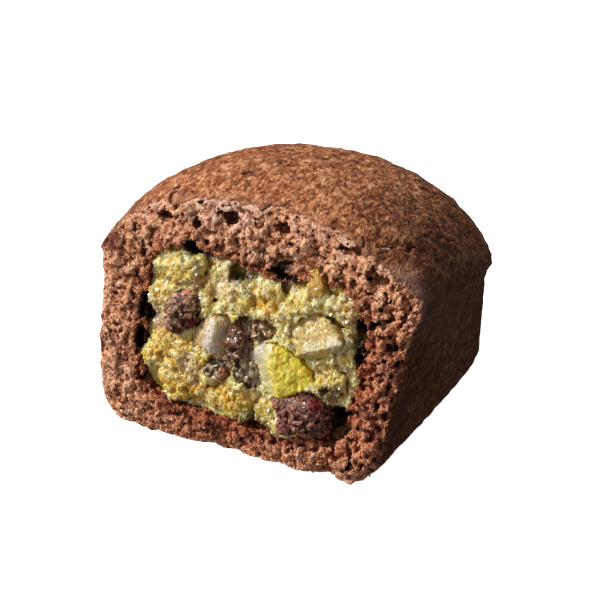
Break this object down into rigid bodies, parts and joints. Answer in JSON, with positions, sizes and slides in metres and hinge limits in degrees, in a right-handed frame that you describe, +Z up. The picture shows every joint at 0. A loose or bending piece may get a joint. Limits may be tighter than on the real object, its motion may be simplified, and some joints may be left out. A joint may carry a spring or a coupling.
{
  "type": "pineapple cake",
  "caption": "Half of a small domed cocoa cake, broken open to show its chunky pineapple jam filling.",
  "frame": {"origin": "middle of the underside of the cake's box, on the surface that it rests on", "axes": "+Z up, -Y towards the broken face, +X to the right as that face is looked at"},
  "size_m": [0.0376, 0.0372, 0.0263],
  "materials": {
    "baked_cocoa_dough": "matt baked cocoa dough, dark grainy skin and pinkish brown crumb",
    "pineapple_jam": "wet, clotted golden jam",
    "bright_pineapple": "moist bright yellow fruit",
    "pale_pineapple": "moist pale yellow fruit",
    "clear_pineapple": "wet, clear greyish fruit",
    "cocoa_piece": "dark moist cocoa dough",
    "dark_raisin": "glossy near-black dried fruit",
    "amber_peel": "candied amber peel"
  },
  "bodies": {
    "root": {"cocoa_crust": "baked_cocoa_dough", "pineapple_jam": "pineapple_jam", "bright_pineapple_chunk": "bright_pineapple", "pale_pineapple_chunk": "pale_pineapple", "clear_pineapple_chunk": "clear_pineapple", "upper_cocoa_chunk": "cocoa_piece", "lower_cocoa_chunk": "cocoa_piece", "dark_raisin_cluster": "dark_raisin", "small_raisin": "dark_raisin", "amber_peel_piece": "amber_peel"}
  },
  "joints": []
}
